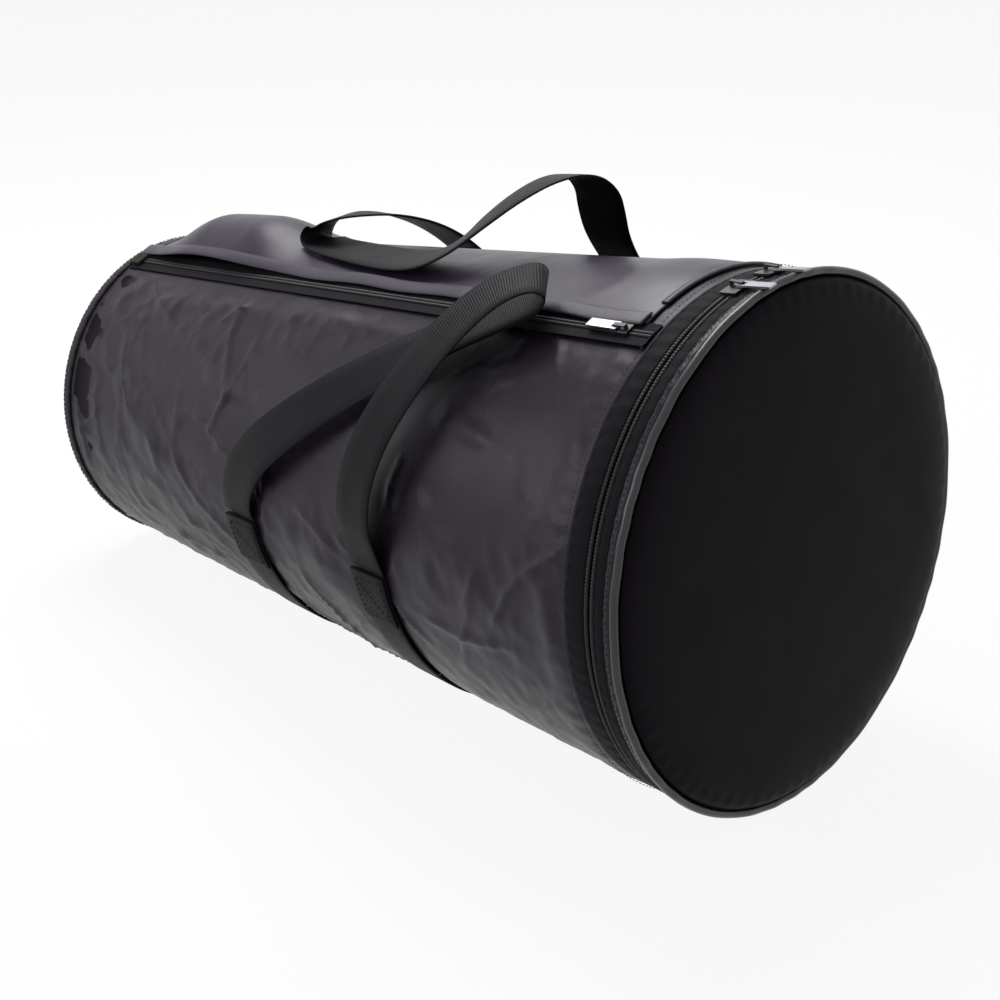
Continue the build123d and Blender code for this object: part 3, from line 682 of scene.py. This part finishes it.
tape = {"first": -165.0, "arc": 330.0, "count": 700}
tapeRun = (tape["first"], tape["arc"], tape["count"])
bandRing("baseSeamTape", cloths["seamTape"], "root", "webbing", ["base_seam_tape"],
         stripSection(0.0155, 0.0245, -0.0014, 0.0011, 8, 0.0007), -180, 360, 420, 0.0008, 0.0002, 61)
bandRing("bodyZipTape", cloths["tape"], "root", "zip_tape", ["zip_tape_body"],
         stripSection(0.6552, 0.6707, 0.0002, 0.0011, 8, 0.0008), *tapeRun, None, 0.00025, 97)
bandRing("lidZipTape", cloths["tape"], "lid", "zip_tape", ["zip_tape_lid"],
         stripSection(0.6793, 0.6879, 0.0002, 0.0011, 8, 0.0005), *tapeRun, None, 0.00018, 97)
bandRing("lidGusset", cloths["nylon"], "lid", "nylon", ["lid_gusset"],
         stripSection(0.6881, 0.6940, -0.0004, 0.0014, 6, 0.0008), -180, 360, 600, 0.0014, 0.0002, 101)
hinge = bandRing("hingeFabric", cloths["tape"], None, "zip_tape", ["lid_hinge_fabric"],
                 stripSection(0.6552, 0.6877, 0.0003, 0.0010, 24, 0.0), 165.6, 28.8, 60, 0.0004)
tuple(onBag(0.668, 180.0, 0.0))
tuple(onBag(0.687, 180.0, 0.0))
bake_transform(hinge)


# Zip coils: a rounded section whose size steps from tooth to tooth
def coilRows(centres, across, out, width, height):
    # section corners go round an eight-sided rounded box; every second pair of rows shrinks
    # to a gap between teeth
    turn = np.radians([22.5, 67.5, 112.5, 157.5, 202.5, 247.5, 292.5, 337.5])
    x = np.clip(np.cos(turn) * 1.25, -1, 1) * width / 2
    y = np.clip(np.sin(turn) * 1.25, -1, 1) * height / 2
    step = np.where(np.arange(len(centres)) % 4 < 2, 1.0, 0.76)[:, None, None]
    return centres[:, None] + step * (x[None, :, None] * across[:, None] + y[None, :, None] * out[:, None])


lidCoil = {"teeth": 440, "width": 0.0034, "height": 0.0030, "depth": 0.0008, "body": 0.6725, "lid": 0.6775}


def ringCoil(name, body, node, station):
    angles = np.linspace(tape["first"], tape["first"] + tape["arc"], lidCoil["teeth"] * 4)
    centres = onBag(station, angles, -lidCoil["depth"])
    across = np.broadcast_to(bag["way"], centres.shape)
    rows = coilRows(centres, across, outwardAt(angles), lidCoil["width"], lidCoil["height"])
    return fit(shell(name, rows, hards["coil"], "cap"), body, "zip_coil", node)


ringCoil("bodyZipCoil", "root", "zip_coil_body", lidCoil["body"])
ringCoil("lidZipCoil", "lid", "zip_coil_lid", lidCoil["lid"])

teeth = int(zipLength / pocket["toothPitch"])
distance = np.linspace(0, zipLength, teeth * 4)
for side, coilName in ((-1, "pocketCoilNear"), (1, "pocketCoilFar")):
    middle = side * (pocket["coilSplit"] + pocket["coilWidth"]) / 2
    centres = zipPlace(distance, middle, -0.0002 + pocket["coilHeight"] / 2)
    across = np.broadcast_to(zipAcross, centres.shape)
    out = np.broadcast_to(zipOut, centres.shape)
    rows = coilRows(centres, across, out, pocket["coilWidth"], pocket["coilHeight"])
    fit(shell(coilName, rows, hards["coil"], "cap"), "root", "zip_coil", "pocket_zip_coils")
print("zips made")

# Pocket: panel from its far seam to the zip, and the rolled hem over the far tape
stations = np.linspace(pocket["start"], pocket["end"], 250)
shares = np.linspace(0, 1, 56)
sGrid, tGrid = np.meshgrid(stations, shares, indexing="ij")
nearEdge = zipAngle(sGrid) - np.degrees(0.0100 / radiusAt(sGrid))
aGrid = pocket["farAngle"] + (nearEdge - pocket["farAngle"]) * tGrid
sewn = fade(tGrid, 0.0, 0.10) * fade(sGrid, pocket["start"], pocket["start"] + 0.010)
sewn = sewn * (1 - fade(sGrid, pocket["end"] - 0.012, pocket["end"]))
height = 0.0016 + puff(sGrid, tGrid) * sewn + 0.0006 * fade(tGrid, 0.8, 1.0)
top = onBag(sGrid, aGrid, height)
low = onBag(sGrid, aGrid, height - pocket["thickness"])
rows = np.concatenate([top, low[:, ::-1]], axis=1)
span = np.concatenate([shares, shares[::-1], [0.0]]) * 0.12
# the panel, and the lip below, take the lighter top nylon: painted light from above
panel = shell("pocketPanel", rows, cloths["topNylonPaintedLight"], "cap", stations, span)
fit(panel, "root", "nylon", "pocket_panel")

# The lip is a flattened roll: half its width times cos, and its rise a squared-off sine
lipDistance = np.linspace(0, pocket["end"] - pocket["zipStart"][0], 260)
lipStations = bagTerms(zipPlace(lipDistance, pocket["lipMiddle"], 0.0))[0]
turn = np.linspace(0, 2 * math.pi, 20, endpoint=False)
lipRise = 0.0016 + puff(lipStations, np.ones_like(lipStations)) * fade(lipStations, 0.026, 0.036)
lipX = pocket["lipMiddle"] - 0.5 * pocket["lipWidth"] * np.cos(turn)
lipY = 0.0010 * np.sign(np.sin(turn)) * np.abs(np.sin(turn)) ** 0.7
roll = 1 + 0.9 * bump(lipStations, 0.15, 0.09)
across = lipX[None, :] + 0.0010 * np.sin(lipStations * 60)[:, None]
rise = lipRise[:, None] + lipY[None, :] * roll[:, None] + 0.0014
rows = zipPlace(lipDistance[:, None], across, rise)
lipMap = np.append(turn, 2 * math.pi) * 0.004
lip = shell("pocketLip", rows, cloths["topNylonPaintedLight"], "cap", lipStations, lipMap)
fit(lip, "root", "nylon", "pocket_lip")


def lengthAlong(places):
    # running length of a line of places, for the cloth's map
    return np.concatenate([[0], np.cumsum(np.linalg.norm(np.diff(places, axis=0), axis=1))])


# Binding over the pocket's three sewn edges
def edgeBinding(name, stations, angles, lifts, halfWidth, height):
    places = onBag(stations, angles, lifts)
    way = np.gradient(places, axis=0)
    way /= np.linalg.norm(way, axis=1)[:, None]
    out = outwardAt(np.asarray(angles, float))
    side = np.cross(way, out)
    turn = np.linspace(0, 2 * math.pi, 12, endpoint=False)
    wide = halfWidth * np.cos(turn)[None, :, None] * side[:, None]
    rows = places[:, None] + wide + height * np.sin(turn)[None, :, None] * out[:, None]
    around = np.append(turn, 2 * math.pi) * 0.002
    return fit(shell(name, rows, cloths["nylon"], "cap", lengthAlong(places), around), "root", "nylon")


line = np.linspace(0, 1, 160)
level = np.ones(160)
edgeBinding(
    "pocketFarSeam", pocket["start"] + (pocket["end"] - pocket["start"]) * line,
    (pocket["farAngle"] + 0.3) * level, 0.0020 * level, 0.0030, 0.0011)
for bindingName, station, lastAngle, height in (
    ("pocketWideSeam", pocket["end"] - 0.002, 18.5, 0.0013),
    ("pocketNarrowSeam", pocket["start"] + 0.003, 13.5, 0.0012),
):
    edgeBinding(
        bindingName, station * level, pocket["farAngle"] + (lastAngle - pocket["farAngle"]) * line,
        0.0022 * level, 0.0030, height)
print("pocket made")

# Lid panel: nearly flat in the middle, rolling down to the piping, with soft dents
lid = {
    "crown": 0.7058, "fullness": 0.0008, "edge": 0.1833, "rollStart": 0.128, "back": 0.690,
    "shoulder": 0.6992, "thickness": 0.0012, "around": 360, "wallRings": 6,
    "dent": 0.0006, "dentRise": 0.0004, "pucker": 0.0003,
}
radii = np.concatenate([np.linspace(0.004, 0.135, 46), np.linspace(0.139, 0.1833, 22)])
roll = np.clip((radii - lid["rollStart"]) / (lid["edge"] - lid["rollStart"]), 0, 1)
rollDrop = (lid["crown"] - lid["shoulder"]) * (1 - np.sqrt(np.clip(1 - roll ** 2.6, 0, 1)))
crown = lid["crown"] + lid["fullness"] * (1 - np.clip(radii / 0.13, 0, 1) ** 2) - rollDrop
wallS = np.linspace(lid["shoulder"] - 0.001, lid["back"], lid["wallRings"])
angles = np.linspace(-180, 180, lid["around"], endpoint=False)
profileS = np.concatenate([crown, wallS])
profileR = np.concatenate([radii, np.full(lid["wallRings"], lid["edge"])])
rGrid, aGrid = np.meshgrid(profileR, angles, indexing="ij")
sGrid = np.broadcast_to(profileS[:, None], rGrid.shape)
dent = lid["dentRise"] + lid["dent"] * faceWaves(rGrid, aGrid, 44, 12, 0.07, 0.2, 0.35)
pucker = np.sin(np.radians(aGrid) * 71 + 2 * np.sin(np.radians(aGrid) * 3))
dent += lid["pucker"] * pucker * fade(rGrid, 0.165, 0.182)
dent = dent * (1 - fade(rGrid, 0.178, lid["edge"])) * (profileS > lid["shoulder"] - 0.0005)[:, None]
outer = onBag(sGrid + dent, aGrid, rGrid - radiusAt(sGrid + dent))
innerR = np.minimum(rGrid, lid["edge"] - lid["thickness"])
innerS = np.minimum(sGrid + dent, np.maximum(sGrid + dent - lid["thickness"], lid["back"]))
inner = onBag(innerS, aGrid, innerR - radiusAt(innerS))
rows = np.concatenate([outer, inner[::-1]])
span = np.concatenate([profileR, profileR[::-1]])
# the lid panel takes the darker lid nylon, painted shade
lidPanel = shell("lidPanel", rows, cloths["lidNylonPaintedShade"], "poles", span, np.append(angles, 180) / 360)
fit(lidPanel, "lid", "lid_nylon", "lid_cover")

# Piping: a round bead that runs round the rim and wavers a little
piping = {"station": 0.697, "ring": 0.187, "radius": 0.0029, "around": 480}
angles = np.linspace(-180, 180, piping["around"], endpoint=False)
turn = np.linspace(0, 2 * math.pi, 14, endpoint=False)
aGrid, tGrid = np.meshgrid(angles, turn, indexing="ij")
waver = 0.00025 * np.sin(np.radians(aGrid) * 37 + 3 * np.sin(np.radians(aGrid) * 6))
stationGrid = piping["station"] + waver + piping["radius"] * np.cos(tGrid)
rows = onBag(stationGrid, aGrid, piping["ring"] - radiusAt(stationGrid) + piping["radius"] * np.sin(tGrid))
rows[..., 2] = np.maximum(rows[..., 2], 0.0001)
alongMap = np.radians(np.append(angles, 180)) * piping["ring"]
bead = shell("lidPiping", rows, hards["vinyl"], "loop", alongMap, np.append(turn, 2 * math.pi) * 0.003)
fit(bead, "lid", "piping", "lid_piping")
print("lid made")

# Webbing
web = {
    "halfWidth": 0.019, "halfThickness": 0.00095, "cup": 0.0002, "rearStrap": 0.286, "frontStrap": 0.448,
    "endAngle": 97.7, "endReach": 0.042,
}


def webSection():
    # flat oblong with small round edges: x across the webbing, y through it
    w, t = web["halfWidth"], web["halfThickness"]
    x = np.array([-w, -w + 0.0008, -w * 0.5, 0, w * 0.5, w - 0.0008, w])
    top = np.array([0.3, 0.95, 1, 1, 1, 0.95, 0.3]) * t
    return np.concatenate([x, x[::-1]]), np.concatenate([top, -top[::-1]])


def webBand(centres, widthWays, cup):
    # the section carried along the centres; y is out of the width and the way
    way = np.gradient(centres, axis=0)
    way /= np.linalg.norm(way, axis=1)[:, None]
    across = widthWays - way * np.einsum("ij,ij->i", widthWays, way)[:, None]
    across /= np.linalg.norm(across, axis=1)[:, None]
    out = np.cross(way, across)
    x, y = webSection()
    bend = cup * (x / web["halfWidth"]) ** 2
    wide = x[None, :, None] * across[:, None]
    rows = centres[:, None] + wide + (y + bend)[None, :, None] * out[:, None]
    return rows, lengthAlong(centres), np.append(x, x[0])


def roundCorners(values, times):
    # corner cutting: each run keeps the points at a quarter and three quarters of it
    for _ in range(times):
        a, b = values[:-1], values[1:]
        cut = np.stack([0.75 * a + 0.25 * b, 0.25 * a + 0.75 * b], 1).reshape(-1, values.shape[1])
        values = np.vstack([values[:1], cut, values[-1:]])
    return values


# Each handle's route over the bag: station in millimetres, angle in degrees, height in millimetres
nearRoute = [
    (286, 97, 1.55), (288, 93, 4.5), (298, 86, 9), (320, 77, 13), (355, 68, 14), (398, 58, 13),
    (444, 48, 12), (488, 38, 11), (526, 30, 11), (546, 26, 13), (554, 24, 19), (554, 24, 27),
    (546, 26, 33), (528, 31, 34), (508, 40, 30), (492, 50, 27), (476, 61, 26), (462, 72, 23),
    (452, 83, 16), (449, 91, 6), (448, 97, 1.55),
]
farRoute = [
    (286, -97, 1.55), (286, -92, 3), (286, -80, 8), (286, -60, 12), (286, -42, 17), (284, -26, 22),
    (276, -13, 27), (258, -5, 28), (240, -2, 25), (228, -1, 20), (224, 0, 14), (230, 1, 8),
    (248, 3, 6), (280, 6, 6), (320, 9, 6), (360, 11, 6), (392, 11.5, 9), (416, 9, 18),
    (434, 5, 32), (450, -1, 47), (462, -7, 58), (469, -13, 61), (470, -18, 52), (465, -22, 38),
    (458, -28, 24), (453, -38, 14), (450, -54, 9), (448, -74, 8), (448, -90, 4), (448, -97, 1.55),
]


def handleBand(name, route, body, node):
    # webbing along its route, flat to the cover where it runs along it, keeping its turn where it stands up
    route = np.array(route, float) * (0.001, 1.0, 0.001)
    places = onBag(route[:, 0], route[:, 1], route[:, 2])
    side = 1 if route[0, 1] > 0 else -1
    runs = np.diff(places, axis=0)
    runs /= np.linalg.norm(runs, axis=1)[:, None]
    rise = outwardAt(np.array(side * 7.0))
    ways = np.vstack([rise, runs[:-1] + runs[1:], -rise])
    ways /= np.linalg.norm(ways, axis=1)[:, None]
    slope = (bag["rimRadius"] - bag["narrowRadius"]) / bag["rimStation"]
    faces = outwardAt(route[:, 1]) - bag["way"] * slope
    faces /= np.linalg.norm(faces, axis=1)[:, None]
    width = places[-1] - places[0]
    widths = []
    for way, face in zip(ways, faces):
        flat = np.cross(face, way)
        if np.linalg.norm(flat) > 0.5:
            width = flat if flat @ width > 0 else -flat
        width = width - way * (width @ way)
        width = width / np.linalg.norm(width)
        widths.append(width)
    smooth = roundCorners(np.hstack([places, np.array(widths)]), 3)
    rows, length, across = webBand(smooth[:, :3], smooth[:, 3:], web["cup"])
    return fit(shell(name, rows, webbing, "cap", length, across), body, "webbing", node)


handleBand("nearHandle", nearRoute, "near_loop", "near_handle")
handleBand("farHandle", farRoute, "far_loop", "far_handle")

for name, station, node in (
    ("rearStrap", web["rearStrap"], "rear_girth_strap"),
    ("frontStrap", web["frontStrap"], "front_girth_strap"),
):
    angles = np.linspace(97.8, 262.2, 240)
    x, y = webSection()
    aGrid, xGrid = np.meshgrid(angles, x, indexing="ij")
    yGrid = np.broadcast_to(y, xGrid.shape)
    rows = settle(onBag(station + xGrid, aGrid, 0.0013 + yGrid), 0.00004, 0.0002)
    # under the belly the inner face stays one thickness over the floor
    lifted = np.broadcast_to(np.where(y > 0, 0.0, 0.0019), xGrid.shape)
    rows[..., 2] = np.maximum(rows[..., 2], lifted)
    strap = shell(name, rows, webbing, "cap", np.radians(angles) * 0.16, np.append(x, x[0]))
    fit(strap, "root", "webbing", node)

for sideName, side in (("near", 1), ("far", -1)):
    for endName, station in (("EndRear", web["rearStrap"]), ("EndFront", web["frontStrap"])):
        reach = math.degrees(web["endReach"] / float(radiusAt(station)))
        angles = side * np.linspace(web["endAngle"], web["endAngle"] + reach, 30)
        x, y = webSection()
        aGrid, xGrid = np.meshgrid(angles, x, indexing="ij")
        rows = onBag(station + xGrid, aGrid, 0.0035 + np.broadcast_to(y, xGrid.shape))
        alongMap = np.radians(np.abs(angles)) * 0.16
        piece = shell(sideName + endName, rows, webbing, "cap", alongMap, np.append(x, x[0]))
        fit(piece, "root", "webbing", sideName + "_handle_ends")
print("webbing made")


# Stitches: short spindles laid along rows of places
stitch = {"length": 0.0030, "radius": 0.00035, "pitch": 0.0042}


def stitches(name, places, ways, outs, body):
    turn = np.linspace(0, 2 * math.pi, 5, endpoint=False)
    ways = ways / np.linalg.norm(ways, axis=1)[:, None]
    sides = np.cross(ways, outs)
    ring = np.cos(turn)[None, :, None] * outs[:, None] + np.sin(turn)[None, :, None] * sides[:, None]
    rings = [
        places[:, None] + ways[:, None] * stitch["length"] * offset + ring * stitch["radius"] * size
        for offset, size in ((-0.5, 0.35), (0.0, 1.0), (0.5, 0.35))
    ]
    points = np.stack(rings, 1).reshape(-1, 3)
    start = np.arange(len(places))[:, None] * 15
    k = np.arange(5)
    k2 = (k + 1) % 5
    quads = []
    for r in (0, 5):
        corners = np.stack([k + r, k2 + r, k2 + r + 5, k + r + 5], -1)
        quads.append((start[..., None] + corners[None]).reshape(-1, 4))
    caps = np.concatenate([start + k[::-1][None], start + 10 + k[None]])
    return fit(putMesh(name, points, [np.concatenate(quads), caps], hards["thread"]), body, "webbing")


def ringStitches(station, height):
    count = int(math.radians(360.0) * float(radiusAt(station)) / stitch["pitch"])
    angles = -180.0 + 360.0 * (np.arange(count) + 0.5) / count
    outs = outwardAt(angles)
    places = onBag(np.full(count, station), angles, height)
    ways = np.cross(np.broadcast_to(bag["way"], outs.shape), outs)
    keep = places[:, 2] > 0.004
    return places[keep], ways[keep], outs[keep]


def boxStitches(station, side):
    # a sewn box with a cross in it, over the end of a handle
    w, first = 0.0150, 100.0
    last = web["endAngle"] + math.degrees(0.038 / float(radiusAt(station)))
    corners = [
        (-w, first), (w, first), (w, last), (-w, last), (-w, first), (w, last), (w, first), (-w, last),
    ]
    found = []
    for (x1, a1), (x2, a2) in zip(corners[:-1], corners[1:]):
        size = math.hypot(x2 - x1, math.radians(a2 - a1) * 0.16)
        count = max(2, int(size / stitch["pitch"]))
        t = (np.arange(count) + 0.5) / count
        angles = side * (a1 + (a2 - a1) * t)
        places = onBag(station + x1 + (x2 - x1) * t, angles, 0.0046)
        ways = np.broadcast_to(places[-1] - places[0], places.shape)
        found.append((places, ways, outwardAt(angles)))
    return found


rootRows = [ringStitches(0.6515, 0.0022), ringStitches(0.0165, 0.0020), ringStitches(0.0235, 0.0022)]
for station in (web["rearStrap"], web["frontStrap"]):
    for side in (1, -1):
        rootRows += boxStitches(station, side)
rootRows = [np.concatenate(parts) for parts in zip(*rootRows)]
stitches("bagStitches", *rootRows, "root")
stitches("lidStitches", *ringStitches(0.6905, 0.0018), "lid")
print("stitches made")

# Floor, light and camera
studio = {
    "worldLight": 0.34, "keyEnergy": 30.0, "sideEnergy": 12.0, "floorGlow": 0.90,
    "floorGrey": 0.93, "floorReach": 6.0, "floorHeight": -0.0003,
}


def raySeen(tree):
    # 1 on rays from the camera, off gloss or through clear matter, 0 on the light that falls on the bag
    rays = tree.nodes.new("ShaderNodeLightPath")
    bounced = mathNode(tree, "MAXIMUM", rays.outputs["Is Glossy Ray"], rays.outputs["Is Transmission Ray"])
    return mathNode(tree, "MAXIMUM", rays.outputs["Is Camera Ray"], bounced)


def mixShaders(tree, share, first, second, output):
    mixer = tree.nodes.new("ShaderNodeMixShader")
    for index, link in enumerate((share, first.outputs[0], second.outputs[0])):
        tree.links.new(link, mixer.inputs[index])
    tree.links.new(mixer.outputs[0], tree.nodes[output].inputs[0])


floorMaterial = bpy.data.materials.new("floor")
floorMaterial.use_nodes = True
tree = floorMaterial.node_tree
tree.nodes.remove(tree.nodes["Principled BSDF"])
white = tree.nodes.new("ShaderNodeBsdfDiffuse")
white.inputs[0].default_value = (*[studio["floorGrey"]] * 3, 1)
glow = tree.nodes.new("ShaderNodeEmission")
glow.inputs[0].default_value = (1, 1, 1, 1)
glowShare = mathNode(tree, "MULTIPLY", raySeen(tree), studio["floorGlow"])
mixShaders(tree, glowShare, white, glow, "Material Output")
floorMesh = bpy.data.meshes.new("floor")
corners = ((-1, -1), (1, -1), (1, 1), (-1, 1))
floorCorners = [(x * studio["floorReach"], y * studio["floorReach"], studio["floorHeight"]) for x, y in corners]
floorMesh.from_pydata(floorCorners, [], [(0, 1, 2, 3)])
floorMesh.materials.append(floorMaterial)
floor = bpy.data.objects.new("floor", floorMesh)
bpy.context.scene.collection.objects.link(floor)

world = bpy.data.worlds.new("studio")
bpy.context.scene.world = world
world.use_nodes = True
tree = world.node_tree
lightSky = tree.nodes["Background"]
lightSky.inputs[0].default_value = (1, 1, 1, 1)
lightSky.inputs[1].default_value = studio["worldLight"]
plainSky = tree.nodes.new("ShaderNodeBackground")
plainSky.inputs[0].default_value = (1, 1, 1, 1)
plainSky.inputs[1].default_value = 1.0
mixShaders(tree, raySeen(tree), lightSky, plainSky, "World Output")


def areaLight(name, place, target, size, energy):
    data = bpy.data.lights.new(name, "AREA")
    data.shape = "DISK"
    data.size = size
    data.energy = energy
    lamp = bpy.data.objects.new(name, data)
    lamp.location = place
    lamp.rotation_mode = "QUATERNION"
    lamp.rotation_quaternion = (Vector(target) - Vector(place)).to_track_quat("-Z", "Y")
    bpy.context.scene.collection.objects.link(lamp)


areaLight("keyLight", (-0.7, 0.5, 1.7), (0, 0, 0.15), 1.2, studio["keyEnergy"])
areaLight("sideLight", (-1.2, -1.6, 1.0), (0, 0, 0.15), 1.0, studio["sideEnergy"])

view = {
    "azimuth": 44.28, "elevation": 24.19, "distance": 1.35,
    "target": (0.1036, -0.0421, 0.1634), "lens": 64.8, "sensor": 36.0,
}
a, e = math.radians(view["azimuth"]), math.radians(view["elevation"])
back = Vector((math.sin(a) * math.cos(e), -math.cos(a) * math.cos(e), math.sin(e)))
lens = bpy.data.cameras.new("camera")
lens.lens = view["lens"]
lens.sensor_width = view["sensor"]
camera = bpy.data.objects.new("camera", lens)
camera.location = Vector(view["target"]) + back * view["distance"]
camera.rotation_mode = "QUATERNION"
camera.rotation_quaternion = (-back).to_track_quat("-Z", "Y")
bpy.context.scene.collection.objects.link(camera)
bpy.context.scene.camera = camera
bpy.context.scene.view_settings.view_transform = "Standard"
print("studio set")
